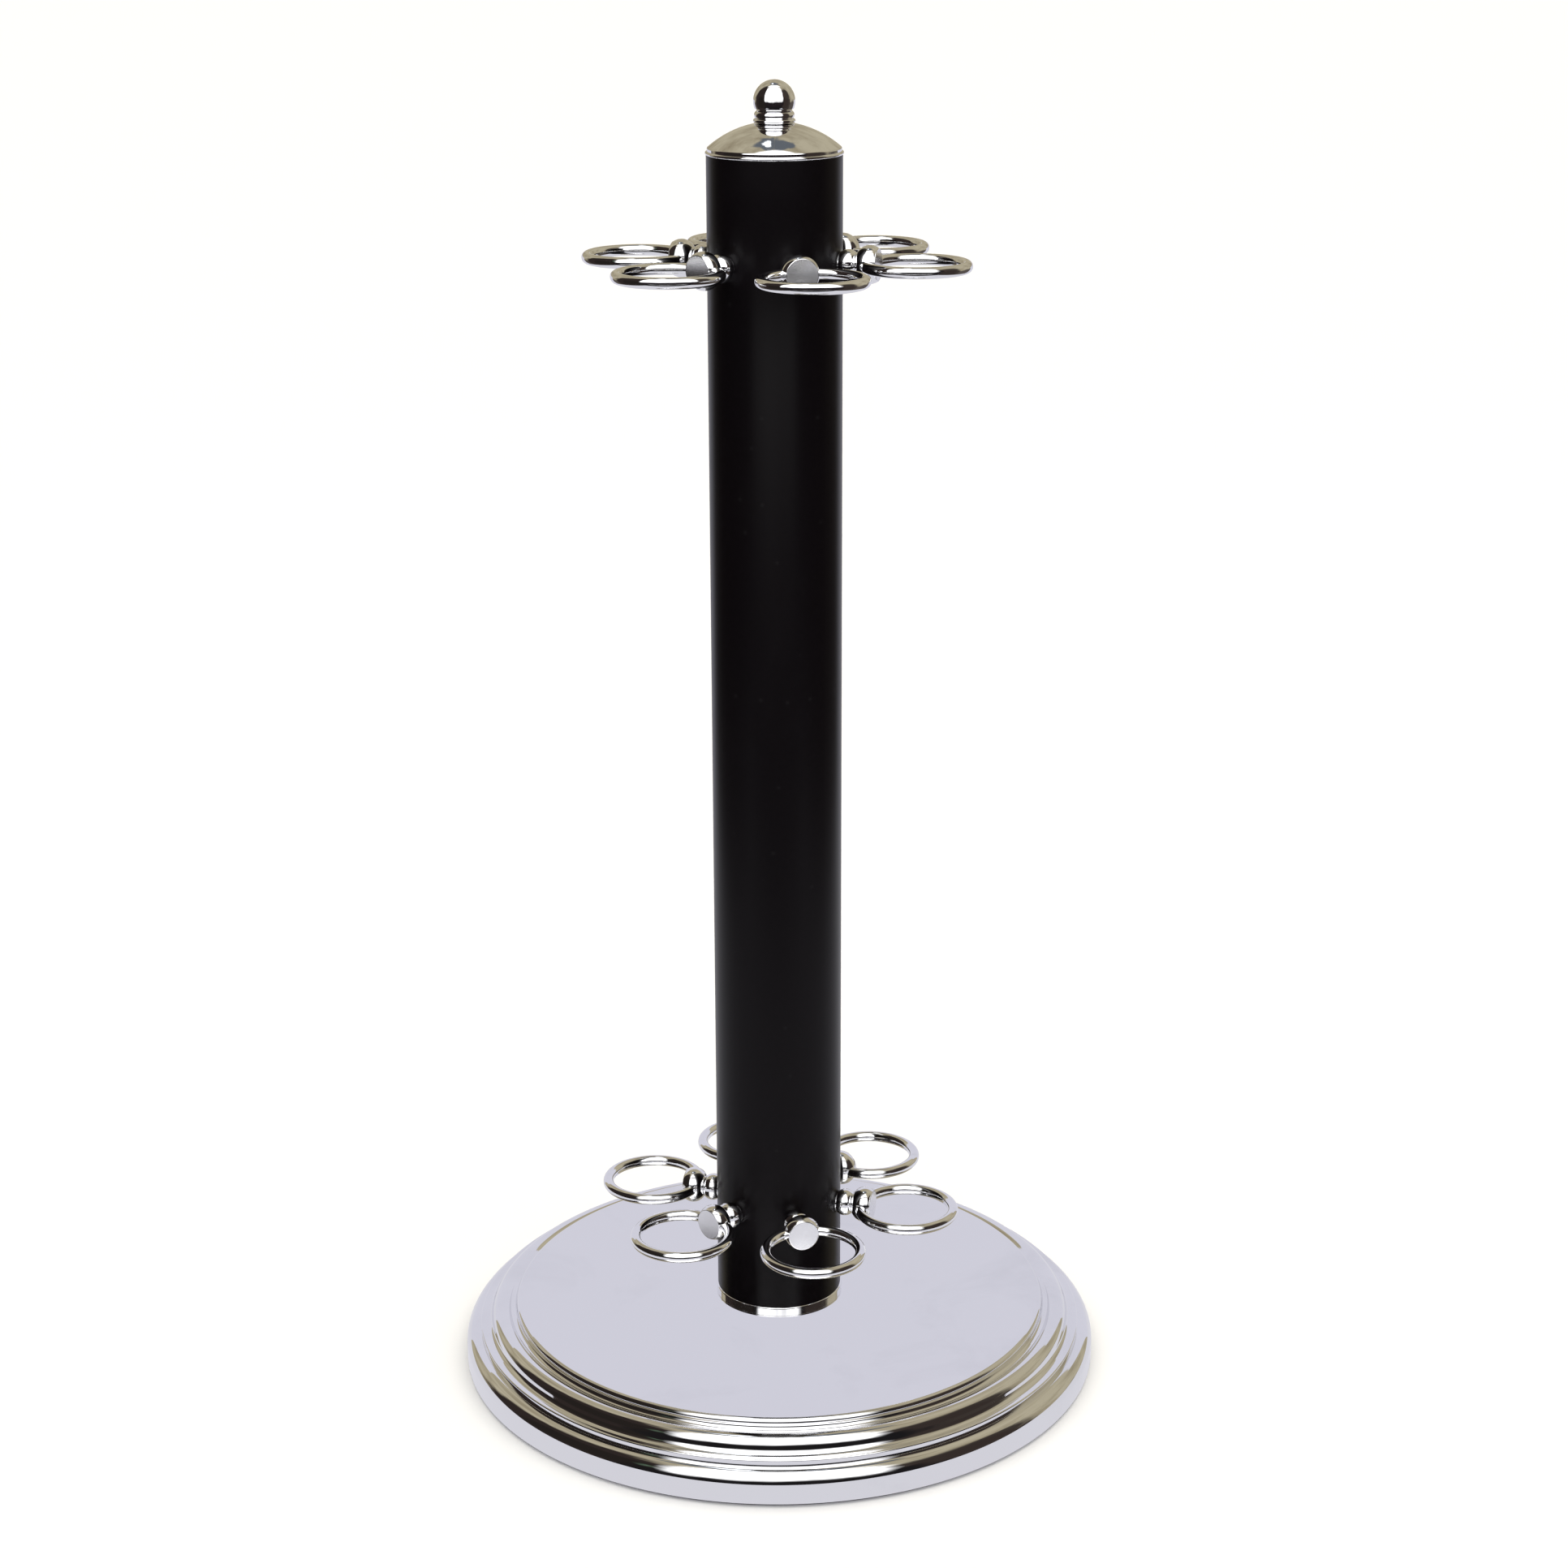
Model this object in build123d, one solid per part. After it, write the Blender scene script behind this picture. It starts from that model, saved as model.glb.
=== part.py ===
from build123d import *
import math
import os

# Free-standing stand for cues or canes: a weighted round base, one tube column and two
# levels of rings. All sizes in millimetres, +Z up, origin on the floor under the column.

# ---- base ----
pad_thickness = 2.0
pad_inset = 3.0
base_diameter = 358.2
shell_height = 33.3
shell_wall = 1.5
hem_width = 9.0
ballast_thickness = 14.0
ballast_margin = 8.0
pocket_radius = 15.0
pocket_depth = 9.0

# ---- moulded rim of the base, from its flat top outwards; drops are below the flat top ----
edge_radius = 2.7
cove_radius = 2.4
roll_radius = 6.5
roll_drop = 10.5
roll_offset = 7.5
roll_end_angle = 20.0
ogee_slope_length = 1.2
ogee_radius = 4.0
ledge_width = 2.0
ledge_corner = 0.8
bullnose_drop = 16.0
bullnose_radius = 8.0
bullnose_seat = 0.2

# ---- column ----
column_diameter = 70.0
column_wall = 2.0
column_length = 635.0
collar_overhang = 0.7
collar_height = 5.0
collar_edge = 0.8
spigot_height = 15.0
spigot_chamfer = 1.0
spigot_clearance = 0.15

# ---- cap ----
cap_wall = 1.5
cap_lip_radius = 1.0
cap_lip_overhang = 0.5
cap_neck_height = 1.15
cap_shoulder_radius = 1.0
cap_rise = 15.6
cap_seat_radius = 9.8
cap_skirt_depth = 12.0

# ---- finial ----
ball_radius = 10.7
ball_height = 26.7
neck_radius = 8.8
neck_height = 22.3
neck_lip = 0.3
ball_undercut = 1.2
bead_groove_radius = 9.6
upper_bead_radius = 10.3
upper_bead_height = 3.8
lower_bead_radius = 10.8
lower_bead_height = 2.3
finial_gap = 0.2
washer_thickness = 0.8
washer_radius = 7.7
washer_clearance = 0.3
thread_engagement = 12.5
thread_clearance = 0.05
hole_spare = 1.7

# ---- tie rod through the whole stand, M8 ----
rod_radius = 4.0
rod_hole_clearance = 0.4
rod_nut_flats = 13.0
rod_nut_height = 6.5
rod_washer_radius = 12.0
rod_washer_thickness = 2.0
rod_tail = 2.0
rod_chamfer = 0.8

# ---- rings and their studs, with M6 tails ----
ring_count = 6
wire_diameter = 6.0
ring_centreline_radius = 26.0
lower_ring_rise = 53.5
upper_ring_drop = 54.0
ring_bite = 13.5
stud_reach = 20.0
rear_bead_radius = 7.5
rear_bead_length = 8.5
stud_foot_radius = 6.0
stud_groove_radius = 5.4
front_bead_radius = 9.6
front_bead_setback = 0.3
stud_face_radius = 8.1
stud_face_edge = 0.5
braze_gap = 0.05
tail_radius = 3.0
tail_hole_clearance = 0.2
tail_spare = 2.0
saddle_radius = 7.0
saddle_thickness = 3.5
stud_nut_flats = 10.0
stud_nut_height = 5.0

# ---- how the shapes are cut ----
overcut = 1.0
shortest_edge = 0.0001
sharpest_corner = 0.05

# ---- places worked out from the sizes above ----
base_radius = base_diameter / 2
shell_bottom = pad_thickness
shell_top = shell_bottom + shell_height
ballast_top = shell_top - shell_wall
ballast_bottom = ballast_top - ballast_thickness
column_radius = column_diameter / 2
column_bore = column_radius - column_wall
column_bottom = shell_top + collar_height
column_top = column_bottom + column_length
wire_radius = wire_diameter / 2
ring_reach = column_radius + ring_bite + ring_centreline_radius
lower_ring_z = column_bottom + lower_ring_rise
upper_ring_z = column_top - upper_ring_drop
stud_face_reach = column_radius + stud_reach
cap_neck_radius = column_radius + cap_lip_overhang - cap_lip_radius
cap_shoulder_z = column_top + 2 * cap_lip_radius + cap_neck_height
cap_seat_z = column_top + cap_rise
finial_z = cap_seat_z + finial_gap
rod_hole_radius = rod_radius + rod_hole_clearance
rod_washer_z = ballast_bottom + pocket_depth - rod_washer_thickness
rod_nut_z = rod_washer_z - rod_nut_height
rod_bottom = rod_nut_z - rod_tail
rod_top = finial_z + thread_engagement

# ---- the rim's arc centres, as (radius, height) ----
bullnose_centre = (base_radius - bullnose_radius, shell_top - bullnose_drop - bullnose_radius)
ledge_edge = bullnose_centre[0] - bullnose_seat
roll_slope = math.radians(roll_end_angle)
ogee_centre_x = ledge_edge - ledge_width - ledge_corner
ogee_span = roll_radius + ogee_radius
roll_centre_x = (ogee_centre_x - ogee_span * math.cos(roll_slope)
                 - ogee_slope_length * math.sin(roll_slope))
roll_centre = (roll_centre_x, shell_top - roll_drop)
ogee_centre_z = (roll_centre[1] + ogee_span * math.sin(roll_slope)
                 - ogee_slope_length * math.cos(roll_slope))
ogee_centre = (ogee_centre_x, ogee_centre_z)
edge_outer = roll_centre_x - roll_offset
cove_to_roll = cove_radius - roll_offset
cove_centre = (edge_outer + cove_radius,
               roll_centre[1] + math.sqrt((cove_radius + roll_radius) ** 2 - cove_to_roll ** 2))
flat_radius = edge_outer - edge_radius


def chain(*points):
    # Straight edges through the points, in order.
    return [Line(a, b).edge() for a, b in zip(points, points[1:])]


def about(centre, radius, start, end):
    # Arc of a circle about a centre, from the start angle to the end angle in degrees.
    def at(angle):
        turn = math.radians(angle)
        return (centre[0] + radius * math.cos(turn), centre[1] + radius * math.sin(turn))

    return ThreePointArc(at(start), at((start + end) / 2), at(end)).edge()


def turned(edges):
    # Solid of revolution about Z from a closed chain of edges drawn as (radius, height).
    return revolve(Plane.XZ * make_face(Wire(edges)), axis=Axis.Z, revolution_arc=360)


def disc(radius, bottom, height):
    # Upright cylinder standing at the given height.
    on_its_foot = (Align.CENTER, Align.CENTER, Align.MIN)
    return Pos(0, 0, bottom) * Cylinder(radius, height, align=on_its_foot)


def through(radius, bottom, height):
    # Round cutter that passes both faces of what it cuts.
    return disc(radius, bottom - overcut, height + 2 * overcut)


def hexagon(flats, bottom, height):
    # Upright hexagonal bar, measured across its flats.
    return extrude(Pos(0, 0, bottom) * RegularPolygon(flats / 2, 6, major_radius=False), amount=height)


def moulding(inset, floor_z):
    # Solid inside the base's outline, which is moved inwards by inset and cut off at floor_z.
    top = shell_top - inset
    foot = shell_top - bullnose_drop - inset
    side = base_radius - inset
    roll_start = math.degrees(math.atan2(cove_centre[1] - roll_centre[1], cove_centre[0] - roll_centre[0]))
    edge = about((flat_radius, shell_top - edge_radius), edge_radius - inset, 90, 0)
    cove = about(cove_centre, cove_radius + inset, 180, 180 + roll_start)
    roll = about(roll_centre, roll_radius - inset, roll_start, roll_end_angle)
    ogee = about(ogee_centre, ogee_radius + inset, 180 + roll_end_angle, 270)
    nose = about(bullnose_centre, bullnose_radius - inset, 90, 0)
    ledge_z = (ogee @ 1).Y
    corner = max(ledge_corner - inset, sharpest_corner)
    ledge_end = ledge_edge - inset
    ledge = about((ledge_end - corner, ledge_z - corner), corner, 90, 0)
    outline = chain((0, top), edge @ 0) + [edge]
    outline += chain(edge @ 1, cove @ 0) + [cove]
    outline += chain(cove @ 1, roll @ 0) + [roll]
    outline += chain(roll @ 1, ogee @ 0) + [ogee]
    outline += chain(ogee @ 1, ledge @ 0) + [ledge]
    outline += chain(ledge @ 1, (ledge_end, foot), nose @ 0) + [nose]
    outline += chain(nose @ 1, (side, floor_z), (0, floor_z), (0, top))
    return turned([piece for piece in outline if piece.length > shortest_edge])


def base_shell():
    # Spun sheet cover with a turned-in hem, open below inside the hem.
    cavity = moulding(shell_wall, shell_bottom + shell_wall)
    mouth = through(base_radius - hem_width, shell_bottom, shell_wall)
    return moulding(0, shell_bottom) - cavity - mouth - through(rod_hole_radius, ballast_top, shell_wall)


def base_ballast():
    # Cast disc under the flat top, with a pocket for the tie rod's nut.
    plate = disc(flat_radius - ballast_margin, ballast_bottom, ballast_thickness)
    pocket = disc(pocket_radius, ballast_bottom - overcut, pocket_depth + overcut)
    return plate - pocket - through(rod_hole_radius, ballast_bottom, ballast_thickness)


def base_pad():
    return disc(base_radius - pad_inset, 0, pad_thickness)


def base_collar():
    # Turned seat of the column: a bright ring below the tube and a spigot inside it.
    ring = disc(column_radius + collar_overhang, shell_top, collar_height)
    ring = fillet(ring.edges().group_by(Axis.Z)[-1], collar_edge)
    spigot = disc(column_bore - spigot_clearance, column_bottom, spigot_height)
    spigot = chamfer(spigot.edges().group_by(Axis.Z)[-1], spigot_chamfer)
    return ring + spigot - through(rod_hole_radius, shell_top, collar_height + spigot_height)


def column_tube():
    # Tube with two levels of holes for the studs' tails.
    tube = disc(column_radius, column_bottom, column_length)
    tube -= through(column_bore, column_bottom, column_length)
    drill = through(tail_radius + tail_hole_clearance, column_bore - overcut, column_wall + overcut)
    drill = Rot(0, 90, 0) * drill
    for level in (lower_ring_z, upper_ring_z):
        for number in range(ring_count):
            tube -= Rot(0, 0, ring_angle(number)) * Pos(0, 0, level) * drill
    return tube


def cap_dome():
    # Sphere through the seat's edge that runs smoothly out of the cap's rounded shoulder: its
    # centre height, its radius and the angle at which it leaves the shoulder.
    arm = cap_neck_radius - cap_shoulder_radius
    rise = cap_seat_z - cap_shoulder_z
    steepness = rise / cap_shoulder_radius
    gap = (cap_seat_radius ** 2 + rise ** 2 - arm ** 2 - cap_shoulder_radius ** 2) / (2 * cap_shoulder_radius)
    spread = steepness ** 2 - 1
    drop = (math.sqrt(gap ** 2 + spread * arm ** 2) - steepness * gap) / spread
    reach = math.hypot(arm, drop) + cap_shoulder_radius
    return cap_shoulder_z - drop, reach, math.degrees(math.atan2(drop, arm))


def top_cap():
    # Spun dome with a rounded shoulder, a short neck, a rolled lip and a skirt inside the tube.
    skirt = column_bore - spigot_clearance
    inner = skirt - cap_wall
    middle, radius, shoulder_angle = cap_dome()
    lip = about((cap_neck_radius, column_top + cap_lip_radius), cap_lip_radius, -90, 90)
    shoulder_centre = (cap_neck_radius - cap_shoulder_radius, cap_shoulder_z)
    shoulder = about(shoulder_centre, cap_shoulder_radius, 0, shoulder_angle)

    def dome(sphere, start, end):
        places = (start, (start + end) / 2, end)
        return ThreePointArc(*[(x, middle + math.sqrt(sphere ** 2 - x ** 2)) for x in places]).edge()

    outer_dome = dome(radius, (shoulder @ 1).X, cap_seat_radius)
    inner_dome = dome(radius - cap_wall, cap_seat_radius, inner)
    outline = [lip] + chain(lip @ 1, shoulder @ 0) + [shoulder, outer_dome]
    outline += chain(outer_dome @ 1, (rod_hole_radius, cap_seat_z),
                     (rod_hole_radius, (inner_dome @ 0).Y), inner_dome @ 0) + [inner_dome]
    outline += chain(inner_dome @ 1, (inner, column_top - cap_skirt_depth),
                     (skirt, column_top - cap_skirt_depth), (skirt, column_top), lip @ 0)
    return turned([piece for piece in outline if piece.length > shortest_edge])


def finial():
    # Ball on two beads, screwed on the tie rod by hand; its foot holds a captive washer.
    foot = bead_groove_radius
    lower_top = finial_z + lower_bead_height
    upper_top = lower_top + upper_bead_height
    ball_z = column_top + ball_height
    ball_start = neck_radius + ball_undercut
    ball_start_z = ball_z - math.sqrt(ball_radius ** 2 - ball_start ** 2)
    ball_turn = math.degrees(math.atan2(ball_start_z - ball_z, ball_start))
    lower_mid = (lower_bead_radius, (finial_z + lower_top) / 2)
    lower = ThreePointArc((foot, finial_z), lower_mid, (foot, lower_top)).edge()
    upper_mid = (upper_bead_radius, (lower_top + upper_top) / 2)
    upper = ThreePointArc((foot, lower_top), upper_mid, (neck_radius + neck_lip, upper_top)).edge()
    ball = about((0, ball_z), ball_radius, ball_turn, 90)
    outline = chain((0, finial_z), (foot, finial_z)) + [lower, upper]
    outline += chain(upper @ 1, (neck_radius, column_top + neck_height), ball @ 0) + [ball]
    outline += chain(ball @ 1, (0, finial_z))
    knob = turned(outline)
    recess_depth = washer_thickness - finial_gap
    recess = disc(washer_radius + washer_clearance, finial_z - overcut, recess_depth + overcut)
    hole_depth = thread_engagement + hole_spare
    hole = disc(rod_radius + thread_clearance, finial_z - overcut, hole_depth + overcut)
    return knob - recess - hole


def finial_washer():
    ring = disc(washer_radius, cap_seat_z, washer_thickness)
    return ring - through(rod_hole_radius, cap_seat_z, washer_thickness)


def tie_rod():
    rod = disc(rod_radius, rod_bottom, rod_top - rod_bottom)
    return chamfer(rod.edges().filter_by(GeomType.CIRCLE), rod_chamfer)


def tie_rod_nut():
    nut = hexagon(rod_nut_flats, rod_nut_z, rod_nut_height)
    return nut - through(rod_radius + thread_clearance, rod_nut_z, rod_nut_height)


def tie_rod_washer():
    ring = disc(rod_washer_radius, rod_washer_z, rod_washer_thickness)
    return ring - through(rod_hole_radius, rod_washer_z, rod_washer_thickness)


def ring_angle(number):
    # Ring 1 is at the front, on -Y; the others follow anticlockwise seen from above.
    return -90 + number * 360 / ring_count


def placed(shape, number, level):
    # Moves a piece made along +X at height 0 to its own ring's direction and level.
    return Rot(0, 0, ring_angle(number)) * Pos(0, 0, level) * shape


def ring():
    # Round wire ring lying level, brazed through the stud's front bead.
    return Pos(ring_reach, 0, 0) * Torus(ring_centreline_radius, wire_radius)


def stud():
    # Turned stud along +X: two beads with a flat front face, and a threaded tail.
    seat = column_bore
    groove_x = column_radius + rear_bead_length
    rear_mid = (column_radius + rear_bead_length / 2, rear_bead_radius)
    front_mid = (column_radius + ring_bite - front_bead_setback, front_bead_radius)
    rear = ThreePointArc((column_radius, stud_foot_radius), rear_mid, (groove_x, stud_groove_radius)).edge()
    face = (stud_face_reach - stud_face_edge, stud_face_radius + stud_face_edge)
    front = ThreePointArc((groove_x, stud_groove_radius), front_mid, face).edge()
    outline = chain((seat, 0), (seat, stud_foot_radius), (column_radius, stud_foot_radius)) + [rear, front]
    outline += chain(face, (stud_face_reach, stud_face_radius), (stud_face_reach, 0), (seat, 0))
    head = revolve(make_face(Wire(outline)), axis=Axis.X, revolution_arc=360)
    head -= disc(column_radius, -2 * front_bead_radius, 4 * front_bead_radius)
    tail_end = column_bore - saddle_thickness - stud_nut_height - tail_spare
    tail = Rot(0, 90, 0) * disc(tail_radius, tail_end, column_radius + overcut - tail_end)
    wire_hole = Pos(ring_reach, 0, 0) * Torus(ring_centreline_radius, wire_radius + braze_gap)
    return head + tail - wire_hole


def saddle():
    # Washer on the tail, its outer face curved to the tube's bore.
    flat = column_bore - saddle_thickness
    block = Rot(0, 90, 0) * disc(saddle_radius, flat, saddle_thickness + overcut)
    block &= disc(column_bore, -2 * saddle_radius, 4 * saddle_radius)
    hole = through(tail_radius + tail_hole_clearance, flat, saddle_thickness + overcut)
    return block - Rot(0, 90, 0) * hole


def stud_nut():
    start = column_bore - saddle_thickness - stud_nut_height
    nut = hexagon(stud_nut_flats, start, stud_nut_height)
    return Rot(0, 90, 0) * (nut - through(tail_radius + thread_clearance, start, stud_nut_height))


def save(shape, node):
    export_step(shape, f"parts/{node}.step")


os.makedirs("parts", exist_ok=True)

for make in (base_shell, base_ballast, base_pad, base_collar, column_tube, top_cap, finial,
             finial_washer, tie_rod, tie_rod_nut, tie_rod_washer):
    save(make(), make.__name__)

for level_name, level_z in (("lower", lower_ring_z), ("upper", upper_ring_z)):
    for number in range(ring_count):
        save(placed(ring(), number, level_z), f"{level_name}_ring_{number + 1}")
        save(placed(stud(), number, level_z), f"{level_name}_stud_{number + 1}")
    saddles = [placed(saddle(), number, level_z) for number in range(ring_count)]
    nuts = [placed(stud_nut(), number, level_z) for number in range(ring_count)]
    save(Compound(children=saddles), f"{level_name}_stud_saddles")
    save(Compound(children=nuts), f"{level_name}_stud_nuts")
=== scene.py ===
import bpy
import numpy as np
from mathutils import Matrix, Vector


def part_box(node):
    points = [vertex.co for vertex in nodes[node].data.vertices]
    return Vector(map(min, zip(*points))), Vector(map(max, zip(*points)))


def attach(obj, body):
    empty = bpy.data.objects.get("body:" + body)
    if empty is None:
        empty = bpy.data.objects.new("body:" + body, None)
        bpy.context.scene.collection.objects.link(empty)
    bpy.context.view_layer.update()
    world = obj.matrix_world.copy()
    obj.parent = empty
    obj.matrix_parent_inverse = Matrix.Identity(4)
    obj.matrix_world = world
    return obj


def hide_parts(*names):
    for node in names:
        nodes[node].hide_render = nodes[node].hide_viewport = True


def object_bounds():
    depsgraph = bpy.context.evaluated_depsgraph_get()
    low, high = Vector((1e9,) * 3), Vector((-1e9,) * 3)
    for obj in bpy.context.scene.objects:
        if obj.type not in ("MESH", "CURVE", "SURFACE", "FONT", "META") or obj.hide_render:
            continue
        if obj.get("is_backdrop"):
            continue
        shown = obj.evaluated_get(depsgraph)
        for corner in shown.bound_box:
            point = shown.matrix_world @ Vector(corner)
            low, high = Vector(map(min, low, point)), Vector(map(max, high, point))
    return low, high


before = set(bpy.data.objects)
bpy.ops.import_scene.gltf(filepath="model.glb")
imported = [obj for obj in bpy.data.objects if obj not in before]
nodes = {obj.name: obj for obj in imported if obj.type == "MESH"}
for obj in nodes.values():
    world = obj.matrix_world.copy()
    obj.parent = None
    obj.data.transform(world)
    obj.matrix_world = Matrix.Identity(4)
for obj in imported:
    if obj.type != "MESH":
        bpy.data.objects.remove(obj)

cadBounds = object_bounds()
scene = bpy.context.scene
scene.view_settings.view_transform = "Standard"
mm = 0.001
touching = 0.0001 * mm
creaseGap = 0.02 * mm  # how far a run stops short of a sharp edge
smoothCosine = 0.9  # runs whose normals agree at least this well meet smoothly
ringCount = 6
levels = ("lower", "upper")
print("stand: frame loaded with", len(nodes), "nodes")

# metres from the column and above the floor, then angles in degrees, then the lens in millimetres
viewPoint = {"distance": 1.5371, "height": 0.8326, "turn": -14.46, "pitch": 17.81, "yaw": 0.14,
             "roll": -0.20, "lens": 68.19}


def buildCamera(spec):
    pitch, yaw, roll = (np.radians(spec[key]) for key in ("pitch", "yaw", "roll"))
    forward = Vector((np.sin(yaw) * np.cos(pitch), np.cos(yaw) * np.cos(pitch), -np.sin(pitch)))
    side = Vector((np.cos(yaw), -np.sin(yaw), 0))
    up = side.cross(forward)
    right = np.cos(roll) * side + np.sin(roll) * up
    above = -np.sin(roll) * side + np.cos(roll) * up
    view = Matrix((right, above, -forward)).transposed().to_4x4()
    view.translation = Vector((0, -spec["distance"], spec["height"]))
    data = bpy.data.cameras.new("studioCamera")
    data.lens = spec["lens"]
    data.clip_end = 100
    camera = bpy.data.objects.new("studioCamera", data)
    camera.matrix_world = Matrix.Rotation(np.radians(spec["turn"]), 4, "Z") @ view
    scene.collection.objects.link(camera)
    scene.camera = camera


buildCamera(viewPoint)
print("stand: camera placed")


# Profiles are drawn as (radius, height), clockwise, so the outside is on the left of travel.

def lineRun(start, end, count=2):
    # straight run: start + (end - start) * t, with the normal a quarter turn left of travel
    start, end = np.array(start, float), np.array(end, float)
    t = np.linspace(0, 1, count)[:, None]
    along = (end - start) / np.linalg.norm(end - start)
    return start + (end - start) * t, np.tile((-along[1], along[0]), (count, 1))


def arcRun(centre, radius, first, last, count=13):
    # arc: centre + radius * (cos a, sin a) from the first angle to the last; the normal points
    # out of the circle when travel is clockwise and into it when it is not
    a = np.radians(np.linspace(first, last, count))
    ray = np.stack([np.cos(a), np.sin(a)], axis=1)
    return np.array(centre, float) + radius * ray, ray if last < first else -ray


def arcThrough(start, middle, end, count=17):
    # arc through three points: its centre is as far from all three
    a, b, c = (np.array(point, float) for point in (start, middle, end))
    centre = np.linalg.solve(2 * np.array([b - a, c - a]), np.array([b @ b - a @ a, c @ c - a @ a]))
    first, half, last = (np.degrees(np.arctan2(*(point - centre)[::-1])) for point in (a, b, c))
    half = first + (half - first + 180) % 360 - 180
    last = half + (last - half + 180) % 360 - 180
    return arcRun(centre, np.linalg.norm(a - centre), first, last, count)


def joined(*runs):
    # one profile from runs in order: where two meet smoothly, the point is kept once with a mean
    # normal, and at a crease each run stops a hair short and keeps its own
    points, normals = (part.copy() for part in runs[0])
    for place, facing in runs[1:]:
        place, facing = place.copy(), facing.copy()
        if np.linalg.norm(place[0] - points[-1]) < touching:
            if normals[-1] @ facing[0] > smoothCosine * np.linalg.norm(normals[-1]):
                normals[-1] += facing[0]
                place, facing = place[1:], facing[1:]
            else:
                for side, end, inner in ((points, -1, -2), (place, 0, 1)):
                    along = side[inner] - side[end]
                    side[end] += along / np.linalg.norm(along) * creaseGap
        points, normals = np.concatenate([points, place]), np.concatenate([normals, facing])
    return points, normals / np.linalg.norm(normals, axis=1, keepdims=True)


def filleted(corners, radii, count=7):
    # closed outline through the corners, each rounded by its radius: an arc tangent to both sides,
    # whose centre lies on the corner's bisector
    corners = np.array(corners, float)
    before, after = np.roll(corners, 1, axis=0) - corners, np.roll(corners, -1, axis=0) - corners
    before /= np.linalg.norm(before, axis=1, keepdims=True)
    after /= np.linalg.norm(after, axis=1, keepdims=True)
    half = np.arccos(np.clip((before * after).sum(axis=1), -1, 1)) / 2
    middle = (before + after) / np.linalg.norm(before + after, axis=1, keepdims=True)
    radii = np.array(radii, float)
    centres = corners + middle * (radii / np.sin(half))[:, None]
    turn = np.sign(after[:, 0] * before[:, 1] - after[:, 1] * before[:, 0])
    first = corners + before * (radii / np.tan(half))[:, None] - centres
    start = np.arctan2(first[:, 1], first[:, 0])
    sweep = turn * (np.pi - 2 * half)
    angle = start[:, None] + sweep[:, None] * np.linspace(0, 1, count)
    ray = np.stack([np.cos(angle), np.sin(angle)], axis=-1)
    points = centres[:, None] + radii[:, None, None] * ray
    normals = ray * -turn[:, None, None]
    return points.reshape(-1, 2), normals.reshape(-1, 2)


def quadGrid(rows, columns, wraps):
    # quads between neighbouring rows and columns; columns always wrap, rows only if asked
    i, j = np.meshgrid(np.arange(rows if wraps else rows - 1), np.arange(columns), indexing="ij")
    k, m = (i + 1) % rows, (j + 1) % columns
    corners = [i * columns + j, k * columns + j, k * columns + m, i * columns + m]
    return np.stack(corners, axis=-1).reshape(-1, 4)


def turnedGrid(profile, steps):
    # surface of revolution: (r, z) at turn t goes to (r cos t, r sin t, z), and its normal turns
    # with it; a profile that starts and ends on the axis closes in a fan at each pole, and any
    # other is a closed outline. The track is the distance along the profile.
    points, normals = profile
    t = np.arange(steps) * 2 * np.pi / steps

    def spun(pair):
        across, height = pair[:, 0], np.repeat(pair[:, 1:], steps, axis=1)
        return np.stack([np.outer(across, np.cos(t)), np.outer(across, np.sin(t)), height], axis=-1)

    step = np.linalg.norm(np.diff(points, axis=0), axis=1)
    track = np.repeat(np.concatenate([[0], np.cumsum(step)])[:, None], steps, axis=1)
    places, facings = spun(points), spun(normals)
    if points[0, 0] > touching:
        faces = quadGrid(len(points), steps, True).tolist()
        return places.reshape(-1, 3), faces, facings.reshape(-1, 3), track.ravel()
    rows = len(points) - 2
    now, following = np.arange(steps), (np.arange(steps) + 1) % steps
    top, foot = np.full(steps, rows * steps), np.full(steps, rows * steps + 1)
    last = (rows - 1) * steps
    fans = np.concatenate([np.stack([top, now, following], axis=1),
                           np.stack([foot, following + last, now + last], axis=1)])
    faces = quadGrid(rows, steps, False).tolist() + fans.tolist()
    poles = np.array([[0, 0, points[0, 1]], [0, 0, points[-1, 1]]])
    vertices = np.concatenate([places[1:-1].reshape(-1, 3), poles])
    facings = np.concatenate([facings[1:-1].reshape(-1, 3), [[0, 0, 1], [0, 0, -1]]])
    return vertices, faces, facings, np.concatenate([track[1:-1].ravel(), track[0, :1], track[-1, :1]])


def moved(grid, matrix, offset):
    # surface turned by a rotation matrix, then shifted
    points, faces, normals, track = grid
    return points @ np.array(matrix).T + np.array(offset), faces, normals @ np.array(matrix).T, track


def addPiece(name, grid, material, body, replaced):
    # puts a computed surface into a mesh with its own normals, in place of a CAD node
    points, faces, normals, track = grid
    mesh = bpy.data.meshes.new(name)
    mesh.from_pydata(points.tolist(), [], faces)
    mesh.polygons.foreach_set("use_smooth", np.ones(len(mesh.polygons), bool))
    along = mesh.attributes.new("latheTrack", "FLOAT", "POINT")
    along.data.foreach_set("value", track.astype(np.float32))
    mesh.normals_split_custom_set_from_vertices(normals.tolist())
    mesh.materials.append(material)
    piece = bpy.data.objects.new(name, mesh)
    scene.collection.objects.link(piece)
    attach(piece, body)
    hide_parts(replaced)


def addNode(tree, kind, inputs=None, **settings):
    # one shader node; an input is a value or the socket that feeds it
    node = tree.nodes.new(kind)
    for key, value in settings.items():
        setattr(node, key, value)
    for key, value in (inputs or {}).items():
        if isinstance(value, bpy.types.NodeSocket):
            tree.links.new(value, node.inputs[key])
        else:
            node.inputs[key].default_value = value
    return node


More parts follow.
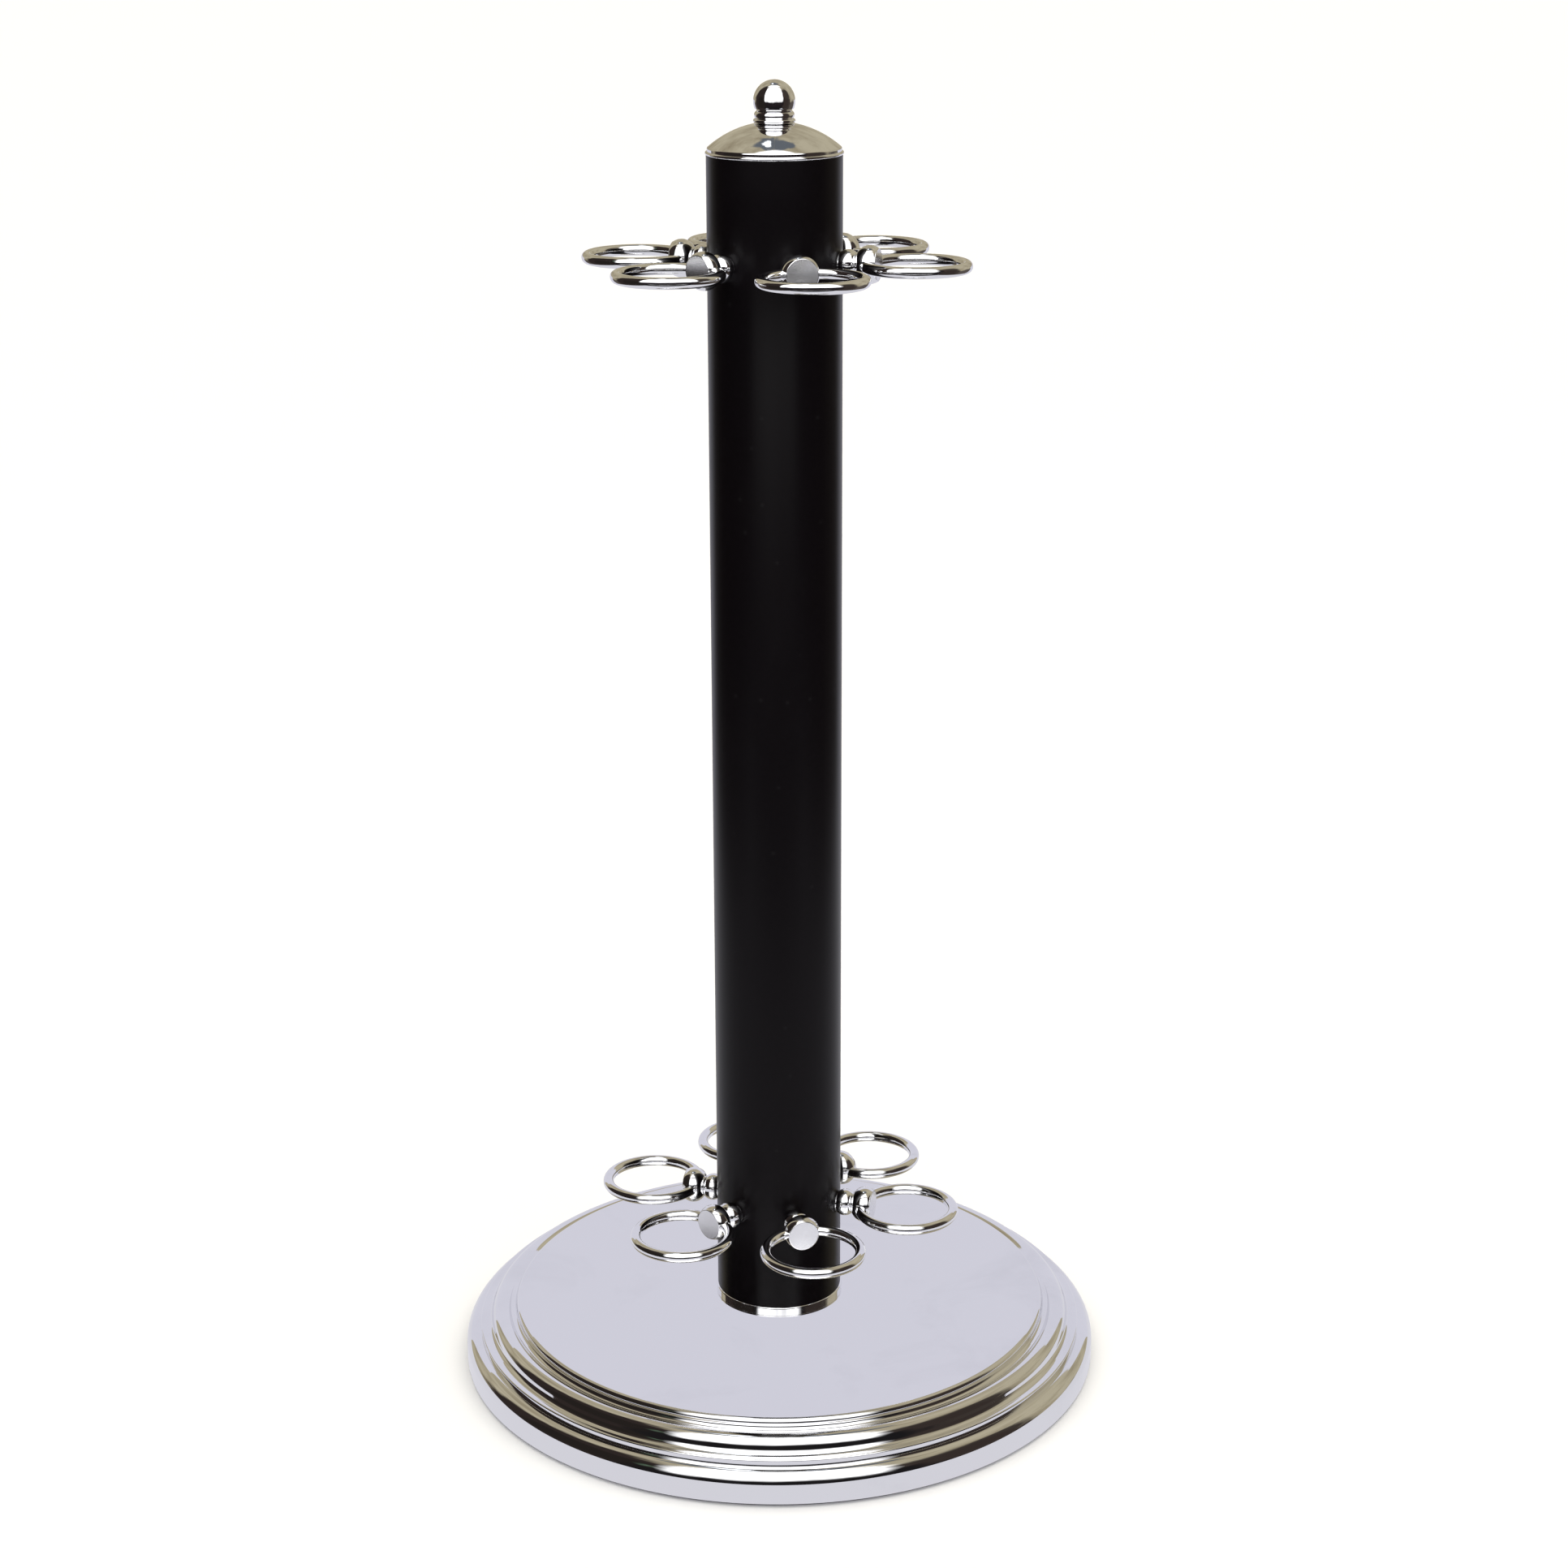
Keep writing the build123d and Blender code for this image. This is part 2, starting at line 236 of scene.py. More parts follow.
def newGroup(name, inputs, outputs):
    # shader node group with named number inputs and outputs
    tree = bpy.data.node_groups.new(name, "ShaderNodeTree")
    for label, value in inputs.items():
        socket = tree.interface.new_socket(name=label, in_out="INPUT", socket_type="NodeSocketFloat")
        socket.default_value = value
    for label in outputs:
        tree.interface.new_socket(name=label, in_out="OUTPUT", socket_type="NodeSocketFloat")
    return tree, tree.nodes.new("NodeGroupInput").outputs, tree.nodes.new("NodeGroupOutput")


def buildRippleGroup():
    # slow unevenness of a polished or coated skin, with finer orange peel over it
    inputs = {"Slow scale": 9, "Fine scale": 90, "Fine share": 0.1}
    tree, given, out = newGroup("skinRipple", inputs, ["Height"])
    place = addNode(tree, "ShaderNodeTexCoord").outputs["Object"]
    slow = addNode(tree, "ShaderNodeTexNoise",
                   {"Vector": place, "Scale": given["Slow scale"], "Detail": 1.0})
    fine = addNode(tree, "ShaderNodeTexNoise",
                   {"Vector": place, "Scale": given["Fine scale"], "Detail": 2.0})
    part = addNode(tree, "ShaderNodeMath", {0: fine.outputs["Fac"], 1: given["Fine share"]},
                   operation="MULTIPLY")
    total = addNode(tree, "ShaderNodeMath", {0: slow.outputs["Fac"], 1: part.outputs[0]},
                    operation="ADD")
    tree.links.new(total.outputs[0], out.inputs["Height"])
    return tree


def buildMarksGroup():
    # handling marks: broad hazy patches and sparse small spots, as a roughness and two masks
    inputs = {"Clean": 0.03, "Smudged": 0.12, "Patch scale": 14, "Spot scale": 60}
    tree, given, out = newGroup("handlingMarks", inputs, ["Roughness", "Haze", "Spots"])
    place = addNode(tree, "ShaderNodeTexCoord").outputs["Object"]
    patch = addNode(tree, "ShaderNodeTexNoise",
                    {"Vector": place, "Scale": given["Patch scale"], "Detail": 5.0, "Roughness": 0.6,
                     "Distortion": 0.8})
    haze = addNode(tree, "ShaderNodeMapRange",
                   {"Value": patch.outputs["Fac"], "From Min": 0.55, "From Max": 0.78})
    cells = addNode(tree, "ShaderNodeTexVoronoi", {"Vector": place, "Scale": given["Spot scale"]})
    spots = addNode(tree, "ShaderNodeMapRange",
                    {"Value": cells.outputs["Distance"], "From Min": 0.10, "From Max": 0.04})
    both = addNode(tree, "ShaderNodeMath", {0: haze.outputs[0], 1: spots.outputs[0]},
                   operation="MAXIMUM")
    rough = addNode(tree, "ShaderNodeMapRange",
                    {"Value": both.outputs[0], "To Min": given["Clean"], "To Max": given["Smudged"]})
    for label, node in (("Roughness", rough), ("Haze", haze), ("Spots", spots)):
        tree.links.new(node.outputs[0], out.inputs[label])
    return tree


def buildLatheGroup():
    # fine rings left by the tool: noise that changes only along the turned profile
    tree, given, out = newGroup("latheMarks", {"Rings per metre": 9000}, ["Height"])
    track = addNode(tree, "ShaderNodeAttribute", attribute_name="latheTrack").outputs["Fac"]
    rings = addNode(tree, "ShaderNodeMath", {0: track, 1: given["Rings per metre"]}, operation="MULTIPLY")
    grooves = addNode(tree, "ShaderNodeTexNoise", {"W": rings.outputs[0], "Scale": 1.0, "Detail": 2.0},
                      noise_dimensions="1D")
    tree.links.new(grooves.outputs["Fac"], out.inputs["Height"])
    return tree


rippleGroup = buildRippleGroup()
marksGroup = buildMarksGroup()
latheGroup = buildLatheGroup()


def newMaterial(name, **sockets):
    # material whose even values are set on the shader's own sockets
    material = bpy.data.materials.new(name)
    material.use_nodes = True
    shader = material.node_tree.nodes["Principled BSDF"]
    for key, value in sockets.items():
        shader.inputs[key.replace("_", " ")].default_value = value
    return material, material.node_tree, shader


def useGroup(tree, group, **values):
    node = tree.nodes.new("ShaderNodeGroup")
    node.node_tree = group
    for key, value in values.items():
        node.inputs[key.replace("_", " ")].default_value = value
    return node


def bumpInto(tree, shader, height, distance, under=None):
    # bump from a height; a second one goes over the first
    bump = addNode(tree, "ShaderNodeBump", {"Height": height, "Distance": distance, "Strength": 1.0})
    if under is not None:
        tree.links.new(under.outputs["Normal"], bump.inputs["Normal"])
    tree.links.new(bump.outputs["Normal"], shader.inputs["Normal"])
    return bump


def tintBetween(tree, mask, low, high):
    # colour that runs from low to high with a mask
    mix = addNode(tree, "ShaderNodeMix", {"Factor": mask}, data_type="RGBA")
    colours = [socket for socket in mix.inputs if socket.type == "RGBA"]
    colours[0].default_value = (*low, 1)
    colours[1].default_value = (*high, 1)
    return next(socket for socket in mix.outputs if socket.type == "RGBA")


chromePlate = {"tint": (0.86, 0.86, 0.875), "spotsToPatch": 4, "fineToSlow": 12, "fineShare": 0.02}


def chromeMaterial(name, spec):
    # bright chrome plate: mirror with a faint ripple, hazy patches, dull spots and tool rings
    material, tree, shader = newMaterial(name, Metallic=1.0)
    marks = useGroup(tree, marksGroup, Clean=spec["clean"], Smudged=spec["smudged"],
                     Patch_scale=spec["patch"], Spot_scale=spec["patch"] * chromePlate["spotsToPatch"])
    tree.links.new(marks.outputs["Roughness"], shader.inputs["Roughness"])
    tint = tintBetween(tree, marks.outputs["Haze"], chromePlate["tint"], spec["hazeTint"])
    tree.links.new(tint, shader.inputs["Base Color"])
    ripple = useGroup(tree, rippleGroup, Slow_scale=spec["slow"],
                      Fine_scale=spec["slow"] * chromePlate["fineToSlow"],
                      Fine_share=chromePlate["fineShare"])
    under = bumpInto(tree, shader, ripple.outputs["Height"], spec["slowDepth"])
    lathe = useGroup(tree, latheGroup, Rings_per_metre=spec["rings"])
    bumpInto(tree, shader, lathe.outputs["Height"], spec["ringDepth"], under)
    return material


baseChrome = chromeMaterial("baseChrome", {"clean": 0.025, "smudged": 0.10, "patch": 11, "slow": 7,
                                           "slowDepth": 0.0003, "rings": 700, "ringDepth": 0.000002,
                                           "hazeTint": (0.79, 0.79, 0.805)})
turnedChrome = chromeMaterial("turnedChrome", {"clean": 0.04, "smudged": 0.14, "patch": 70, "slow": 60,
                                               "slowDepth": 0.00004, "rings": 6000, "ringDepth": 0.0000015,
                                               "hazeTint": (0.78, 0.78, 0.79)})
wireChrome = chromeMaterial("wireChrome", {"clean": 0.05, "smudged": 0.16, "patch": 60, "slow": 45,
                                           "slowDepth": 0.00008, "rings": 1200, "ringDepth": 0.000002,
                                           "hazeTint": (0.78, 0.78, 0.79)})


def studChromeMaterial(spec):
    # the studs' chrome: as the other turned parts, with a duller face that shows the tool's rings
    material = turnedChrome.copy()
    material.name = "studChrome"
    tree = material.node_tree
    shader = tree.nodes["Principled BSDF"]
    track = addNode(tree, "ShaderNodeAttribute", attribute_name="latheTrack").outputs["Fac"]
    face = addNode(tree, "ShaderNodeMath", {0: track, 1: spec["faceEnd"]}, operation="LESS_THAN")
    rings = addNode(tree, "ShaderNodeMath", {0: track, 1: spec["rings"]}, operation="MULTIPLY")
    grooves = addNode(tree, "ShaderNodeTexNoise", {"W": rings.outputs[0], "Scale": 1.0, "Detail": 3.0},
                      noise_dimensions="1D")
    dull = addNode(tree, "ShaderNodeMapRange",
                   {"Value": grooves.outputs["Fac"], "To Min": spec["roughLow"],
                    "To Max": spec["roughHigh"]})
    before = shader.inputs["Roughness"].links[0].from_socket
    mix = addNode(tree, "ShaderNodeMix", {0: face.outputs[0], 2: before, 3: dull.outputs[0]})
    tree.links.new(mix.outputs[0], shader.inputs["Roughness"])
    under = shader.inputs["Normal"].links[0].from_node
    height = addNode(tree, "ShaderNodeMath", {0: grooves.outputs["Fac"], 1: face.outputs[0]},
                     operation="MULTIPLY")
    bumpInto(tree, shader, height.outputs[0], spec["depth"], under)
    return material


studChrome = studChromeMaterial({"faceEnd": 0.0081, "rings": 2600, "roughLow": 0.16, "roughHigh": 0.30,
                                 "depth": 0.00002})


coatLook = {"refraction": 1.22, "clean": 0.30, "smudged": 0.38, "patch": 9, "spot": 70,
            "tint": (0.0036, 0.0024, 0.0034), "lintTint": (0.007, 0.006, 0.007),
            "slow": 30, "fine": 900, "fineShare": 0.25, "depth": 0.00003}


def blackCoatMaterial(spec):
    # satin black coat on the tube: fine orange peel, slight changes of sheen and lint specks
    material, tree, shader = newMaterial("blackCoat", IOR=spec["refraction"])
    marks = useGroup(tree, marksGroup, Clean=spec["clean"], Smudged=spec["smudged"],
                     Patch_scale=spec["patch"], Spot_scale=spec["spot"])
    tree.links.new(marks.outputs["Roughness"], shader.inputs["Roughness"])
    tint = tintBetween(tree, marks.outputs["Spots"], spec["tint"], spec["lintTint"])
    tree.links.new(tint, shader.inputs["Base Color"])
    ripple = useGroup(tree, rippleGroup, Slow_scale=spec["slow"], Fine_scale=spec["fine"],
                      Fine_share=spec["fineShare"])
    bumpInto(tree, shader, ripple.outputs["Height"], spec["depth"])
    return material


blackCoat = blackCoatMaterial(coatLook)

grainLooks = {
    "zincSteel": {"low": (0.50, 0.51, 0.53), "high": (0.66, 0.67, 0.68), "metallic": 1.0,
                  "rough": (0.22, 0.38), "scale": 240, "depth": 0.00002},
    "castIron": {"low": (0.045, 0.045, 0.048), "high": (0.10, 0.10, 0.105), "metallic": 0.6,
                 "rough": (0.62, 0.78), "scale": 320, "depth": 0.0003},
    "rubberPad": {"low": (0.016, 0.016, 0.017), "high": (0.035, 0.035, 0.037), "metallic": 0.0,
                  "rough": (0.72, 0.88), "scale": 900, "depth": 0.0001},
    "fibreWasher": {"low": (0.020, 0.018, 0.016), "high": (0.05, 0.045, 0.04), "metallic": 0.0,
                    "rough": (0.67, 0.83), "scale": 1200, "depth": 0.00005}}
grainNodes = {"base_ballast": "castIron", "base_pad": "rubberPad", "finial_washer": "fibreWasher",
              "tie_rod": "zincSteel", "tie_rod_nut": "zincSteel", "tie_rod_washer": "zincSteel",
              "lower_stud_saddles": "zincSteel", "lower_stud_nuts": "zincSteel",
              "upper_stud_saddles": "zincSteel", "upper_stud_nuts": "zincSteel"}


def grainMaterial(name, spec):
    # cast, rolled or moulded surfaces: two tones of grain with matching bump and roughness
    material, tree, shader = newMaterial(name, Metallic=spec["metallic"])
    place = addNode(tree, "ShaderNodeTexCoord").outputs["Object"]
    grain = addNode(tree, "ShaderNodeTexNoise", {"Vector": place, "Scale": spec["scale"], "Detail": 6.0})
    height = grain.outputs["Fac"]
    tree.links.new(tintBetween(tree, height, spec["low"], spec["high"]), shader.inputs["Base Color"])
    spread = addNode(tree, "ShaderNodeMapRange",
                     {"Value": height, "To Min": spec["rough"][0], "To Max": spec["rough"][1]})
    tree.links.new(spread.outputs[0], shader.inputs["Roughness"])
    bumpInto(tree, shader, height, spec["depth"])
    return material


grainMaterials = {name: grainMaterial(name, look) for name, look in grainLooks.items()}
for nodeName, finish in grainNodes.items():
    nodes[nodeName].data.materials.clear()
    nodes[nodeName].data.materials.append(grainMaterials[finish])
print("stand: materials ready")


baseShape = {"wall": 1.5 * mm, "hem": 9.0 * mm, "edgeRadius": 2.7 * mm, "coveRadius": 2.4 * mm,
             "rollRadius": 6.5 * mm, "rollDrop": 10.5 * mm, "rollOffset": 7.5 * mm, "rollEnd": 20.0,
             "slopeLength": 1.2 * mm, "ogeeRadius": 4.0 * mm, "ledgeWidth": 2.0 * mm,
             "ledgeCorner": 0.8 * mm, "noseDrop": 16.0 * mm, "noseRadius": 8.0 * mm,
             "noseSeat": 0.2 * mm, "nook": 0.15 * mm,
             "leastCorner": 0.05 * mm, "hemEdge": 0.5 * mm, "rodHole": 4.4 * mm, "steps": 432}


def rimRuns(spec, radius, top, inset, floor):
    # half outline of the moulded rim, moved inwards by inset: rounded edge, cove, roll, slope,
    # ogee, ledge, riser, bullnose and skirt, each arc tangent to the next
    noseX, noseZ = radius - spec["noseRadius"], top - spec["noseDrop"] - spec["noseRadius"]
    slope, span = np.radians(spec["rollEnd"]), spec["rollRadius"] + spec["ogeeRadius"]
    ogeeX = noseX - spec["noseSeat"] - spec["ledgeWidth"] - spec["ledgeCorner"]
    rollX = ogeeX - span * np.cos(slope) - spec["slopeLength"] * np.sin(slope)
    rollZ = top - spec["rollDrop"]
    ogeeZ = rollZ + span * np.sin(slope) - spec["slopeLength"] * np.cos(slope)
    edgeX = rollX - spec["rollOffset"]
    coveX = edgeX + spec["coveRadius"]
    coveZ = rollZ + np.sqrt((spec["coveRadius"] + spec["rollRadius"]) ** 2 - (rollX - coveX) ** 2)
    meet = np.degrees(np.arctan2(coveZ - rollZ, coveX - rollX))
    edgeZ = top - spec["edgeRadius"]
    corner = max(spec["ledgeCorner"] - inset, spec["leastCorner"])
    ledgeEnd, nook = noseX - spec["noseSeat"] - inset, spec["nook"]
    ledgeZ, nookZ = ogeeZ - spec["ogeeRadius"] - inset, top - spec["noseDrop"] - inset
    edge = arcRun((edgeX - spec["edgeRadius"], edgeZ), spec["edgeRadius"] - inset, 90, 0, 17)
    cove = arcRun((coveX, coveZ), spec["coveRadius"] + inset, 180, 180 + meet, 21)
    roll = arcRun((rollX, rollZ), spec["rollRadius"] - inset, meet, spec["rollEnd"], 25)
    ogee = arcRun((ogeeX, ogeeZ), spec["ogeeRadius"] + inset, 180 + spec["rollEnd"], 270, 15)
    ledge = arcRun((ledgeEnd - corner, ledgeZ - corner), corner, 90, 0, 7)
    inner = arcRun((ledgeEnd + nook, nookZ + nook), nook, 180, 270, 4)
    nose = arcRun((noseX, noseZ), spec["noseRadius"] - inset, 90, 0, 25)
    skirt = lineRun(nose[0][-1], (radius - inset, floor), 4)
    return [edge, lineRun(edge[0][-1], cove[0][0]), cove, roll, lineRun(roll[0][-1], ogee[0][0]),
            ogee, lineRun(ogee[0][-1], ledge[0][0]), ledge, lineRun(ledge[0][-1], inner[0][0]), inner,
            nose, skirt]


def buildBaseShell(spec):
    # spun sheet: the outer outline going out and the same outline, a wall further in, coming back
    low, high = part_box("base_shell")
    radius, bottom, top = high.x, low.z, high.z
    wall, hemEdge, hole = spec["wall"], spec["hemEdge"], spec["rodHole"]
    outer = rimRuns(spec, radius, top, 0, bottom + hemEdge)
    inner = rimRuns(spec, radius, top, wall, bottom + wall)
    inner = [(points[::-1], -facing[::-1]) for points, facing in reversed(inner)]
    lip = radius - spec["hem"]
    topRun = lineRun((hole, top), outer[0][0][0], 10)
    hemCorner = arcRun((radius - hemEdge, bottom + hemEdge), hemEdge, 0, -90, 5)
    hemRun = lineRun((radius - hemEdge, bottom), (lip, bottom))
    lipRun = lineRun((lip, bottom), (lip, bottom + wall))
    hemBack = lineRun((lip, bottom + wall), (radius - wall, bottom + wall))
    underTop = lineRun(inner[-1][0][-1], (hole, top - wall), 6)
    outline = joined(topRun, *outer, hemCorner, hemRun, lipRun, hemBack, *inner, underTop)
    addPiece("baseShell", turnedGrid(outline, spec["steps"]), baseChrome, "stand", "base_shell")


buildBaseShell(baseShape)

collarShape = {"height": 5.0 * mm, "edge": 0.9 * mm, "corner": 0.25 * mm, "spigotGap": 0.15 * mm,
               "wall": 2.0 * mm, "rodHole": 4.4 * mm, "steps": 192}


def buildCollar(spec):
    # turned seat: ring below the tube, step to the spigot inside it, rod hole through both
    low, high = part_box("base_collar")
    shoulder, seat = low.z + spec["height"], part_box("column_tube")[1].x
    spigot = seat - spec["wall"] - spec["spigotGap"]
    corners = [(spec["rodHole"], high.z), (spigot, high.z), (spigot, shoulder), (high.x, shoulder),
               (high.x, low.z), (spec["rodHole"], low.z)]
    small = spec["corner"]
    outline = filleted(corners, [small, 4 * small, small, spec["edge"], small, small])
    addPiece("baseCollar", turnedGrid(outline, spec["steps"]), turnedChrome, "stand", "base_collar")


buildCollar(collarShape)

tubeShape = {"wall": 2.0 * mm, "edge": 0.35 * mm, "steps": 256}


def buildColumnTube(spec):
    # straight tube with softened ends
    low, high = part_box("column_tube")
    bore = high.x - spec["wall"]
    corners = [(bore, high.z), (high.x, high.z), (high.x, low.z), (bore, low.z)]
    outline = filleted(corners, [spec["edge"]] * 4, 5)
    addPiece("columnTube", turnedGrid(outline, spec["steps"]), blackCoat, "stand", "column_tube")


buildColumnTube(tubeShape)

capShape = {"lip": 1.0 * mm, "neckHeight": 1.15 * mm, "shoulder": 1.0 * mm, "seat": 9.8 * mm,
            "wall": 1.5 * mm, "skirtDepth": 12.0 * mm, "tubeWall": 2.0 * mm, "gap": 0.15 * mm,
            "rodHole": 4.4 * mm, "steps": 256}


def buildTopCap(spec):
    # spun cap: rolled lip, short neck and shoulder arc, then a sphere that leaves the shoulder
    # smoothly and rises to the finial's seat
    low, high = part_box("top_cap")
    neck, top, bottom = high.x - spec["lip"], high.z, low.z + spec["skirtDepth"]
    shoulderZ = bottom + 2 * spec["lip"] + spec["neckHeight"]
    arm, rise = neck - spec["shoulder"], top - shoulderZ
    steepness = rise / spec["shoulder"]
    gap = (spec["seat"] ** 2 + rise ** 2 - arm ** 2 - spec["shoulder"] ** 2) / (2 * spec["shoulder"])
    spread = steepness ** 2 - 1
    drop = (np.sqrt(gap ** 2 + spread * arm ** 2) - steepness * gap) / spread
    centreZ = shoulderZ - drop
    sphere = np.hypot(arm, drop) + spec["shoulder"]
    leave = np.degrees(np.arctan2(drop, arm))
    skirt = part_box("column_tube")[1].x - spec["tubeWall"] - spec["gap"]
    inner, inside = skirt - spec["wall"], sphere - spec["wall"]
    seatAngle = np.degrees(np.arccos(spec["seat"] / sphere))
    innerSeat, innerFoot = np.degrees(np.arccos(np.array([spec["seat"], inner]) / inside))
    dome = arcRun((0, centreZ), sphere, seatAngle, leave, 49)
    shoulder = arcRun((arm, shoulderZ), spec["shoulder"], leave, 0, 13)
    lip = arcRun((neck, bottom + spec["lip"]), spec["lip"], 90, -90, 25)
    hollow = arcRun((0, centreZ), inside, innerFoot, innerSeat, 25)
    runs = [lineRun((spec["rodHole"], top), dome[0][0], 4), dome, shoulder,
            lineRun(shoulder[0][-1], lip[0][0]), lip, lineRun(lip[0][-1], (skirt, bottom)),
            lineRun((skirt, bottom), (skirt, low.z)),
            lineRun((skirt, low.z), (inner, low.z)), lineRun((inner, low.z), hollow[0][0]), hollow,
            lineRun(hollow[0][-1], (spec["rodHole"], hollow[0][-1][1]))]
    addPiece("topCap", turnedGrid(joined(*runs), spec["steps"]), turnedChrome, "stand", "top_cap")


buildTopCap(capShape)
print("stand: base, column and cap made")

finialShape = {"ball": 10.7 * mm, "neck": 8.8 * mm, "neckDrop": 4.4 * mm, "undercut": 1.2 * mm,
               "groove": 9.6 * mm, "upperBead": 10.3 * mm, "upperHeight": 3.8 * mm,
               "lowerHeight": 2.3 * mm, "lip": 0.3 * mm, "recess": 8.0 * mm, "recessDepth": 0.6 * mm,
               "hole": 4.05 * mm, "holeDepth": 14.2 * mm, "steps": 144}


def buildFinial(spec):
    # ball on two beads, turned about Z, with the washer's recess and the rod's hole underneath
    low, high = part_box("finial")
    foot, lowerBead = low.z, high.x
    ballZ = high.z - spec["ball"]
    lowerTop = foot + spec["lowerHeight"]
    upperTop = lowerTop + spec["upperHeight"]
    start = spec["neck"] + spec["undercut"]
    ball = arcRun((0, ballZ), spec["ball"], 90, -np.degrees(np.arccos(start / spec["ball"])), 49)
    neckZ = ballZ - spec["neckDrop"]
    groove, recess, hole = spec["groove"], spec["recess"], spec["hole"]
    upper = arcThrough((spec["neck"] + spec["lip"], upperTop),
                       (spec["upperBead"], (lowerTop + upperTop) / 2), (groove, lowerTop), 21)
    lower = arcThrough((groove, lowerTop), (lowerBead, (foot + lowerTop) / 2), (groove, foot), 17)
    recessZ, holeZ = foot + spec["recessDepth"], foot + spec["holeDepth"]
    neck = (spec["neck"], neckZ)
    runs = [ball, lineRun(ball[0][-1], neck), lineRun(neck, upper[0][0]), upper, lower,
            lineRun(lower[0][-1], (recess, foot)), lineRun((recess, foot), (recess, recessZ)),
            lineRun((recess, recessZ), (hole, recessZ)), lineRun((hole, recessZ), (hole, holeZ)),
            lineRun((hole, holeZ), (0, holeZ))]
    addPiece("finialKnob", turnedGrid(joined(*runs), spec["steps"]), turnedChrome, "finial", "finial")


buildFinial(finialShape)

ringShape = {"around": 144, "section": 36}
studShape = {"foot": 6.0 * mm, "rearBead": 7.5 * mm, "rearLength": 8.5 * mm, "groove": 5.4 * mm,
             "frontBead": 9.6 * mm, "frontBeadPlace": 13.2 * mm, "face": 8.1 * mm, "faceEdge": 0.5 * mm,
             "tail": 3.0 * mm, "sink": 1.2 * mm, "steps": 96}


def ringGrid(spec, wire, radius):
    # torus: a circle of the wire's radius carried round the ring's centreline
    section = arcRun((radius, 0), wire, 360, 360 / spec["section"], spec["section"])
    return turnedGrid(section, spec["around"])


def studGrid(spec, seat, face, tailEnd):
    # turned stud, drawn along its own axis from the middle of its face to the end of its tail
    edge, groove = face - spec["faceEdge"], seat + spec["rearLength"]
    front = arcThrough((spec["face"] + spec["faceEdge"], edge),
                       (spec["frontBead"], seat + spec["frontBeadPlace"]), (spec["groove"], groove), 29)
    rear = arcThrough((spec["groove"], groove), (spec["rearBead"], seat + spec["rearLength"] / 2),
                      (spec["foot"], seat), 21)
    rim = arcRun((spec["face"], edge), spec["faceEdge"], 90, 0, 6)
    foot, tail, sunk = spec["foot"], spec["tail"], seat - spec["sink"]
    runs = [lineRun((0, face), rim[0][0], 10), rim, front, rear, lineRun(rear[0][-1], (foot, sunk)),
            lineRun((foot, sunk), (tail, sunk)), lineRun((tail, sunk), (tail, tailEnd)),
            lineRun((tail, tailEnd), (0, tailEnd))]
    return turnedGrid(joined(*runs), spec["steps"])


def buildRingsAndStuds():
    # each ring and stud is made once about its own axis, then turned to its place on the column
    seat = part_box("column_tube")[1].x
    for level in levels:
        ringLow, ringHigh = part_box(level + "_ring_1")
        studLow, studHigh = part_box(level + "_stud_1")
        wire = (ringHigh.z - ringLow.z) / 2
        radius = (ringHigh.x - ringLow.x) / 2 - wire
        reach, height = -(ringLow.y + ringHigh.y) / 2, (ringLow.z + ringHigh.z) / 2
        ring = ringGrid(ringShape, wire, radius)
        stud = studGrid(studShape, seat, -studLow.y, -studHigh.y)
        for number in range(ringCount):
            a = np.radians(-90 + number * 360 / ringCount)
            out, side = (np.cos(a), np.sin(a), 0), (-np.sin(a), np.cos(a), 0)
            label = level.capitalize() + str(number + 1)
            levelTurn = np.array([out, side, (0, 0, 1)]).T
            radialTurn = np.array([(0, 0, 1), np.cross(out, (0, 0, 1)), out]).T
            addPiece("ring" + label, moved(ring, levelTurn, np.array(out) * reach + (0, 0, height)),
                     wireChrome, "stand", f"{level}_ring_{number + 1}")
            addPiece("stud" + label, moved(stud, radialTurn, (0, 0, height)),
                     studChrome, "stand", f"{level}_stud_{number + 1}")


buildRingsAndStuds()
print("stand: rings, studs and finial made")

